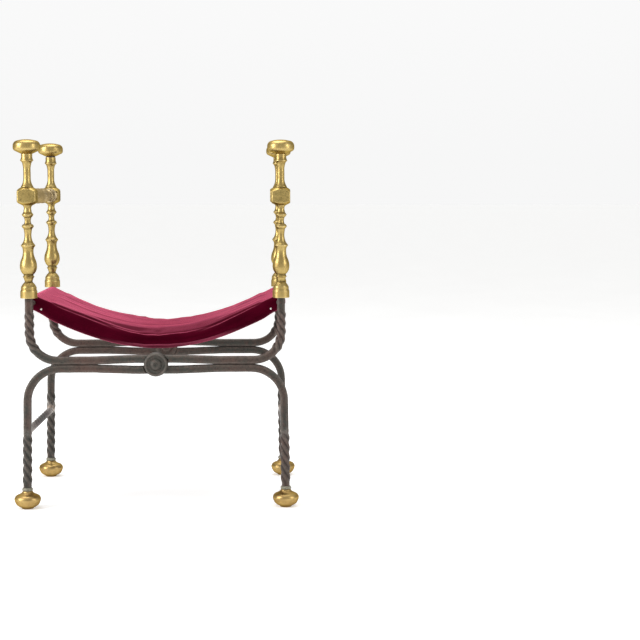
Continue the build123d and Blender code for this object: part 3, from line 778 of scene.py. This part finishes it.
def eye_shell(depth, outer_eye):
    """The half-lapped disc round the pivot."""
    near, far = (lap_gap, bar_half) if outer_eye else (-bar_half, -lap_gap)
    loop = [
        (rivet_bore, near),
        (eye_radius - eye_worn, near),
        (eye_radius, near + eye_worn),
        (eye_radius, far - eye_worn),
        (eye_radius - eye_worn, far),
        (rivet_bore, far),
    ]
    points, edge = [], []
    for step in range(eye_sides):
        turn = 2 * pi * step / eye_sides
        for radius, outward in loop:
            spot = (cos(turn) * radius, outward, sin(turn) * radius)
            dent = rough(spot, eye_waves, depth) * eye_dent
            full = radius + dent * (radius > rivet_bore)
            points.append(
                (full * cos(turn), depth * (half_depth + outward), pivot_height + full * sin(turn))
            )
            edge.append(float(radius > rivet_bore) * eye_shine)
    faces = []
    for step in range(eye_sides):
        here, after = step * len(loop), (step + 1) % eye_sides * len(loop)
        for corner in range(len(loop)):
            following = (corner + 1) % len(loop)
            face = (here + corner, here + following, after + following, after + corner)
            faces.append(face if depth == BACK else tuple(reversed(face)))
    return points, faces, {"edge": edge, "weld": [0.0] * len(points), "dip": [0.0] * len(points)}


for index, (side, depth) in enumerate(corners):
    node = corner_name(side, depth, "bar")
    outer_eye = side == LEFT
    shell = joined(
        [
            limb_shell(side, UP, depth, outer_eye, 100.0 + 7 * index),
            limb_shell(-side, DOWN, depth, outer_eye, 130.0 + 7 * index),
            eye_shell(depth, outer_eye),
        ]
    )
    add_rigid("forged", node, *shell)

# ---- Pivots: rosette, rivet and washer ----
rosette_seat = 3.0 * MM
rosette_rim = 5.5 * MM
rosette_valley = 17.0 * MM
rosette_radius = 23.5 * MM
dimple_depth = 1.6 * MM
rosette_wobble = 0.25 * MM
rim_rub = 0.06  # share of bare metal on the rosettes
rivet_wobble = 0.2 * MM
rivet_darkness = 0.2
bead_reach = 3  # fine steps over which rosettes and beads of weld are rounded

for depth in (FRONT, BACK):
    face = half_depth + bar_half
    crest = (rosette_radius + rosette_valley) / 2
    profile = [
        (rivet_bore, face + rosette_seat * 0.2),
        (rosette_radius, face),
        (rosette_radius, face + rosette_rim * 0.4),
        (crest + 1.6 * MM, face + rosette_rim * 0.93),
        (crest, face + rosette_rim),
        (crest - 1.5 * MM, face + rosette_rim * 0.85),
        (rosette_valley, face + rosette_seat),
        (rivet_bore, face + rosette_seat),
    ]
    node = f"{depth_names[depth]}_pivot_rosette"
    line = worn_outline(profile, bead_reach)
    points, faces, marks = turned_shell(
        line, middle(node), 1, depth, seed=150.0 + depth, wobble=rosette_wobble
    )
    marks["weld"] = [rim_rub] * len(points)
    add_rigid("turned", node, points, faces, marks)
    node = f"{depth_names[depth]}_pivot_rivet"
    tip = max(abs(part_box(node)[0].y), abs(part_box(node)[1].y))
    add_turned(
        node,
        axis=1,
        seed=155.0 + depth,
        way=depth,
        end=[(0, tip - dimple_depth)],
        wobble=rivet_wobble,
        dip=rivet_darkness,
    )
    add_turned(f"{depth_names[depth]}_pivot_washer", axis=1, bore=rivet_bore, seed=158.0, way=depth)

# ---- Stretchers, their welds and the solder on the feet ----
stretcher_half = 6.0 * MM
stretcher_plain = 14.0 * MM
stretcher_quarters = 11
stretcher_bite = 2.0 * MM  # length inside each leg
stretcher_droop = 2.5 * MM  # fall of each stretcher's back end below its middle
stretcher_hammer = 0.3 * MM
weld_run = 85.0 * MM  # filed bright this far along the stretcher
weld_share = 1.1  # brightness at the weld, before it is held to 1
weld_wobble = 0.9 * MM
weld_sides = 40
solder_wobble = 0.5 * MM
# Beads as radius and way outward or up, in millimetres.
weld_bead = [(3, -1.5), (8.6, -1.2), (8.5, 0.8), (7.6, 3), (6.9, 5), (6.6, 7.5), (5, 8.4)]
solder_bead = [(6, -0.6), (10.2, -0.5), (10.8, 0.8), (10.9, 2.4), (10.5, 4.2), (9.6, 5.6), (7, 6.2)]


def bead_line(bead, start):
    line = np.array([(radius * MM, start + away * MM) for radius, away in bead])
    return worn_outline(line, bead_reach)


for side in (LEFT, RIGHT):
    node = f"{side_names[side]}_stretcher"
    centre = middle(node)
    inner = half_depth - bar_half
    twisted = inner - stretcher_plain
    along = np.arange(inner + stretcher_bite, -inner - stretcher_bite, -station_step)
    share = np.clip((twisted - along) / (2 * twisted), 0, 1)
    droop = centre.z - stretcher_droop * along / inner
    centres = np.column_stack([np.full(len(along), centre.x), along, droop])
    aheads = np.tile((0.0, 1.0, 0.0), (len(along), 1))
    twists = share * stretcher_quarters * pi / 2
    points, edge, dip = swept_square(
        centres, aheads, twists, (1, 0, 0), stretcher_half, 170.0 + side, stretcher_hammer
    )
    from_end = inner - np.abs(along)
    weld = np.repeat(np.clip(weld_share - from_end / weld_run, 0, 1), bar_sides)
    faces = turned_over(tube_faces(len(along), bar_sides))
    add_rigid("forged", node, points, faces, {"edge": edge, "weld": weld, "dip": dip})

    node = f"{side_names[side]}_stretcher_welds"
    line = bead_line(weld_bead, -inner)
    shells = [
        turned_shell(line, centre, 1, -depth, 180.0 + side + depth, weld_wobble, weld_sides)
        for depth in (FRONT, BACK)
    ]
    add_rigid("bead", node, *joined(shells))

for index, (side, depth) in enumerate(corners):
    node = corner_name(side, depth, "foot_solder")
    line = bead_line(solder_bead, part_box(node)[0].z)
    shell = turned_shell(line, middle(node), seed=190.0 + index, wobble=solder_wobble)
    add_rigid("bead", node, *shell)

# ---- Sling tacks ----
tack_rise = 1.6 * MM
tack_base = 1.2 * MM  # the node's outer face to the dome's zero
tack_worn_reach = 2
tack_wobble = 0.1 * MM
tack_sides = 28
# The dome as shares of the head's radius and of its rise, from the rim to the tip.
tack_dome = [(1.0, 0.6), (0.96, 0.25), (0.8, -0.25), (0.45, -0.65), (0.0, -0.8)]

for side in (LEFT, RIGHT):
    node = f"{side_names[side]}_sling_tacks"
    low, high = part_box(node)
    head = (high.x - low.x) / 2
    shells = []
    for depth in (FRONT, BACK):
        face = (high.y if depth == BACK else -low.y) - tack_base
        dome = [(share * head, face - fall * tack_rise) for share, fall in tack_dome]
        line = worn_outline([(0, face - MM), *dome], tack_worn_reach)
        shells.append(
            turned_shell(line, middle(node), 1, depth, 200.0 + side, tack_wobble, tack_sides)
        )
    add_rigid("domed", node, *joined(shells))

# ---- Sling seat ----
sling_thickness = 36.0 * MM
sling_end_radius = 14.0 * MM
sling_sag = 74.0 * MM
sling_turn = 280.0 * MM
sling_round = 9.0 * MM
sling_step = 5.0 * MM
sling_swell = 2.0 * MM  # the pad starts this much too small and is blown up to size
swell_limit = 2.4 * MM
cloth_frames = 20
cloth_settings = {
    "quality": 6,
    "mass": 0.4,
    "tension_stiffness": 18.0,
    "compression_stiffness": 18.0,
    "shear_stiffness": 8.0,
    "bending_stiffness": 4.0,
    "use_pressure": True,
    "uniform_pressure_force": 3.0,
}
sleeve_grip = 12.0 * MM  # cloth this near the rail's axis holds still
side_points, corner_points, cap_rings = 5, 4, 4
sling_half_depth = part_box("seat_sling")[1].y
top_points = ceil(2 * (sling_half_depth - sling_round) / sling_step) + 1
rail_reach, rail_height = middle("right_seat_rail").x, middle("right_seat_rail").z
sling_rate = sling_sag / (np.hypot(rail_reach, sling_turn) - sling_turn)


def sling_frame(across):
    """Centre, direction along and upward normal of the pad, and its half thickness."""
    root = np.hypot(across, sling_turn)
    centre = np.array([across, 0, rail_height - sling_sag + sling_rate * (root - sling_turn)])
    along = np.array([1.0, 0, sling_rate * across / root])
    along /= np.linalg.norm(along)
    upward = np.array([-along[2], 0, along[0]])
    middle_half = sling_thickness / 2
    half = middle_half + (sling_end_radius - middle_half) * (across / rail_reach) ** 2
    return centre, along, upward, half


def sling_section(half, half_depth_here):
    """Half a section, from its foremost upper point over the top to its rearmost."""
    inner = half_depth_here - sling_round
    straight = half - sling_round
    rises = [straight * (step + 0.5) / side_points for step in range(side_points)]
    front = [(-half_depth_here, rise) for rise in rises]
    for step in range(corner_points):
        turn = pi / 2 * (step + 0.5) / corner_points
        front.append((-inner - sling_round * cos(turn), straight + sling_round * sin(turn)))
    top = [(y, half) for y in np.linspace(-inner, inner, top_points)]
    return front + top + [(-y, n) for y, n in reversed(front)]


def sling_shell():
    """Points and faces of the pad before it swells, with each point's place on the cloth."""
    points, places = [], []
    reach = ceil(rail_reach / sling_step)
    stations = [(rail_reach * step / reach, 0.0) for step in range(-reach, reach + 1)]
    caps = [pi / 2 * (step + 0.7) / (cap_rings + 0.4) for step in range(cap_rings)]
    stations = [(-rail_reach, -turn) for turn in reversed(caps)] + stations
    stations += [(rail_reach, turn) for turn in caps]
    for across, cap in stations:
        centre, along, upward, half = sling_frame(across)
        slack = sling_swell * (1 - (across / rail_reach) ** 2)
        upper = sling_section(half - slack, sling_half_depth - slack)
        for y, n in upper + [(y, -n) for y, n in reversed(upper)]:
            spot = centre + along * half * sin(cap) + upward * n * cos(cap)
            points.append((spot[0], y, spot[2]))
            places.append((across, y, n * cos(cap)))
    around = 2 * len(upper)
    faces = tube_faces(len(stations), around)[:-2]
    last = (len(stations) - 1) * around
    for step in range(around // 2 - 1):
        loop = (step, step + 1, around - 2 - step, around - 1 - step)
        faces += [loop, tuple(last + corner for corner in reversed(loop))]
    return points, turned_over(faces), np.array(places)


def swollen(piece, across):
    """Blows the pad up with Blender's cloth, without letting it hang otherwise than it did.

    No point moves further than the limit, beside the movement of its whole section.
    """
    start = mesh_points(piece.data)
    held = piece.vertex_groups.new(name="held")
    for vertex in piece.data.vertices:
        away = rail_reach - abs(vertex.co.x)
        if away < 3 * sleeve_grip:
            grip = min(1.0, max(0.0, 1.5 - away / (2 * sleeve_grip)))
            held.add([vertex.index], grip, "REPLACE")
    cloth = piece.modifiers.new("cloth", "CLOTH")
    for name, value in cloth_settings.items():
        setattr(cloth.settings, name, value)
    cloth.settings.vertex_group_mass = "held"
    cloth.settings.effector_weights.gravity = 0.0
    cloth.point_cache.frame_start, cloth.point_cache.frame_end = 1, cloth_frames
    for step in range(1, cloth_frames + 1):
        bpy.context.scene.frame_set(step)
    shaped = piece.evaluated_get(bpy.context.evaluated_depsgraph_get())
    moved = mesh_points(shaped.to_mesh()) - start
    piece.modifiers.remove(cloth)
    piece.vertex_groups.remove(held)
    bpy.context.scene.frame_set(1)
    for station in np.unique(across):
        moved[across == station] -= moved[across == station].mean(axis=0)
    length = np.linalg.norm(moved, axis=1)
    kept = np.minimum(1.0, swell_limit / np.maximum(length, 1e-9))
    piece.data.vertices.foreach_set("co", (start + moved * kept[:, None]).ravel())
    piece.data.update()


def subdivide(piece):
    """Makes one level of subdivision part of the piece's mesh."""
    modifier = piece.modifiers.new("subsurf", "SUBSURF")
    modifier.levels = modifier.render_levels = 1
    shaped = piece.evaluated_get(bpy.context.evaluated_depsgraph_get())
    mesh = bpy.data.meshes.new_from_object(shaped)
    piece.modifiers.clear()
    piece.data = mesh


# Long folds drawn by the pull of the rails: where each starts and ends, its width and height,
# in millimetres.
folds = [
    ((-236, -10), (-20, -16), 11.0, 1.0),
    ((-226, 44), (-70, 34), 10.0, -0.6),
    ((-215, 92), (-60, 104), 9.0, 0.7),
    ((-140, -104), (-15, -112), 7.0, -1.0),
    ((-150, -84), (20, -92), 9.0, 0.9),
    ((236, -96), (110, -112), 8.0, 1.1),
    ((236, -36), (130, -56), 11.0, -0.9),
    ((236, 40), (140, 22), 11.0, 1.1),
    ((-60, -44), (120, -36), 14.0, -0.7),
]
fold_bow = 5.0 * MM  # how far a fold strays from its straight line
fold_wave = 3.1  # radians of that straying along a fold
fold_fade = (-0.02, 0.2, 0.62, 1.0)
ripple_height = 0.8 * MM
lip_run = 14.0 * MM  # the raised back edge: how far in from the edge it reaches,
lip_end = -41.0 * MM  # where it stops,
lip_height = 2.6 * MM  # and how high it is
roll_height = 12.0 * MM  # tucked-under lower edge along the front
roll_tuck = 22.0 * MM
roll_least = 0.25  # share of the roll that is left near the rails
roll_sink = 3.2 * MM
brow_height = 0.8 * MM  # ridge just above the roll
slump_depth = 11.0 * MM  # fall of the top's front edge where people sit
slump_run = 85.0 * MM
face_hollow = 2.0 * MM
piping_width = 9.0 * MM  # ridge along the front's upper edge
# Where each effect starts, is full, starts to fade and ends, as metres across the seat.
trench_span = (-0.19, -0.09, 0.10, 0.20)
slump_span = (-0.155, -0.02, 0.06, 0.22)
roll_span = (-0.165, -0.02, 0.11, 0.20)


def soft_step(value, low, high):
    share = np.clip((value - low) / (high - low), 0, 1)
    return share * share * (3 - 2 * share)


def band(value, start, full, fade, end):
    """Rises softly from start to full, and falls from fade to end."""
    return soft_step(value, start, full) * (1 - soft_step(value, fade, end))


def mark_values(piece, name):
    values = np.empty(len(piece.data.vertices))
    piece.data.attributes[name].data.foreach_get("value", values)
    return values


def top_lift(spots, across, depthwise):
    """How far folds, the piping, the back lip and ripples raise the top."""
    lift = np.zeros(len(spots))
    for (start_x, start_y), (end_x, end_y), width, height in folds:
        share = (across - start_x * MM) / ((end_x - start_x) * MM)
        line = (start_y + (end_y - start_y) * np.clip(share, 0, 1)) * MM
        line += fold_bow * np.sin(share * fold_wave + start_y)
        lift += height * MM * bell(depthwise - line, width * MM) * band(share, *fold_fade)
    to_front, to_back = depthwise + sling_half_depth, sling_half_depth - depthwise
    piping = bell(to_front - piping_width * 0.8, piping_width * 0.45)
    trench = bell(to_front - piping_width * 2.2, piping_width * 0.5)
    lift += (0.9 * piping - trench * band(across, *trench_span)) * MM
    lip = bell(to_back, lip_run) * (1 - soft_step(across, lip_end - 3 * MM, lip_end + 3 * MM))
    lift += lip_height * lip * soft_step(across, -0.20, -0.12)
    ripple = np.array([rough(spot, 14, 211.0) + 0.5 * rough(spot, 40, 215.0) for spot in spots])
    return lift + ripple_height * ripple


def front_push(from_rail, to_front, from_bottom, half, rolled):
    """How far the front face is pushed out, or in where it is below zero."""
    frontside = 1 - soft_step(to_front, 2 * MM, 90 * MM)
    face_only = 1 - soft_step(to_front, 2 * MM, 12 * MM)
    under = np.clip(1 - from_bottom / roll_height, 0, 1)
    brow = bell(from_bottom - roll_height * 1.25, roll_height * 0.22)
    sunk = np.clip(1 - ((from_bottom - half * 1.15) / (half * 0.62)) ** 2, 0, 1)
    push = -roll_tuck * under**0.85 * rolled * frontside
    push += brow_height * brow * rolled * face_only
    push -= face_hollow * sunk * face_only * soft_step(from_rail, 20 * MM, 60 * MM)
    return push


def dress_sling(piece):
    """Moves folds, the slump, the rolled lower edge and the hollow face into the fine mesh."""
    spots = np.empty(3 * len(piece.data.vertices))
    piece.data.vertices.foreach_get("co", spots)
    spots = spots.reshape(-1, 3)
    marks = [mark_values(piece, name) for name in ("across", "depthwise", "upright")]
    across, depthwise, upright = marks
    frames = [sling_frame(value) for value in across]
    upward = np.array([one[2] for one in frames])
    half = np.array([one[3] for one in frames])
    level = upright / half
    to_front = depthwise + sling_half_depth
    from_rail = rail_reach - np.abs(across)
    grip = soft_step(from_rail, 4 * MM, 30 * MM)

    lift = top_lift(spots, across, depthwise) * soft_step(level, 0.2, 0.85)
    spots += upward * (lift * grip)[:, None]
    slump = slump_depth * (1 - soft_step(to_front, 0.0, slump_run)) * soft_step(level, -0.9, 1.0)
    spots -= upward * (band(across, *slump_span) * slump * grip)[:, None]
    rolled = np.maximum(band(across, *roll_span), roll_least)
    spots[:, 1] -= front_push(from_rail, to_front, upright + half, half, rolled) * grip
    sink = roll_sink * rolled * bell(to_front - 20 * MM, 30 * MM) * (upright < 0)
    spots -= upward * (sink * grip)[:, None]
    piece.data.vertices.foreach_set("co", spots.ravel())
    piece.data.update()


points, faces, places = sling_shell()
marks = {"across": places[:, 0], "depthwise": places[:, 1], "upright": places[:, 2]}
sling = add_piece("seat_sling_padded", points, faces, marks, ["seat_sling"])
swollen(sling, places[:, 0])
subdivide(sling)
dress_sling(sling)
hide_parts("seat_sling")
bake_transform(sling)

# ---- Stage ----
floor_reach = 60.0
floor_glow = 0.33  # lifts the far floor to the brightness of the background
floor_mesh = bpy.data.meshes.new("floor")
floor_mesh.from_pydata(
    [(x * floor_reach, y * floor_reach, 0) for x, y in ((-1, -1), (1, -1), (1, 1), (-1, 1))],
    [],
    [(0, 1, 2, 3)],
)
floor = new_object("floor", floor_mesh)
floor_material, floor_tree, floor_shader = new_finish("floor")
floor_patches = spread(floor_tree, cloud(floor_tree, 3.0, 3.0), 0.3, 0.7)
floor_tone = mix(floor_tree, floor_patches, (0.80, 0.80, 0.79), (0.84, 0.84, 0.83))
feed(floor_tree, floor_shader, Base_Color=floor_tone, Roughness=0.9)
feed(floor_tree, floor_shader, Emission_Color=(1.0,) * 4, Emission_Strength=floor_glow)
floor_mesh.materials.append(floor_material)

world = bpy.data.worlds.new("studio")
bpy.context.scene.world = world
world.use_nodes = True
sky = world.node_tree
# White above and behind the chair, dimmer to both sides and towards the camera, and left white
# along the horizon, where the floor's far edge meets it.
toward = add_node(sky, "ShaderNodeTexCoord").outputs[0]
sky_x, sky_y, sky_z = add_node(sky, "ShaderNodeSeparateXYZ", Vector=toward).outputs
sideways = sky.nodes.new("ShaderNodeMath")
sideways.operation = "ABSOLUTE"
connect(sky, sideways.inputs[0], sky_x)
overhead = spread(sky, sky_z, 0.02, 0.35, 0.93, 1.0)
shaded = spread(sky, sideways.outputs[0], 0.30, 0.80, 1.0, 0.45)
off_horizon = spread(sky, sky_z, 0.05, 0.16)
dimming = reckon(sky, "MULTIPLY", reckon(sky, "SUBTRACT", 1.0, shaded), off_horizon)
shaded = reckon(sky, "SUBTRACT", 1.0, dimming)
nearer = spread(sky, sky_y, -0.6, 0.3, 0.70, 1.0)
brightness = reckon(sky, "MULTIPLY", reckon(sky, "MULTIPLY", overhead, shaded), nearer)
connect(sky, sky.nodes["Background"].inputs["Color"], brightness)
bpy.context.scene.view_settings.view_transform = "Standard"


def add_light(name, spot, aim, width, height, power):
    """A softbox of so many metres and watts."""
    light = bpy.data.lights.new(name, "AREA")
    light.shape = "RECTANGLE"
    light.size, light.size_y = width, height
    light.energy = power
    lamp = new_object(name, light)
    lamp.location = spot
    lamp.rotation_euler = (Vector(aim) - Vector(spot)).to_track_quat("-Z", "Y").to_euler()


seat = (0, 0, 0.45)
under_seat = (0, 0, 0.3)
add_light("left_box", (-2.5, -1.3, 1.5), seat, width=1.1, height=1.9, power=75)
add_light("right_box", (2.6, -1.5, 1.4), seat, width=0.8, height=1.8, power=30)
add_light("top_box", (-0.2, 0.3, 2.7), under_seat, width=1.8, height=1.8, power=45)
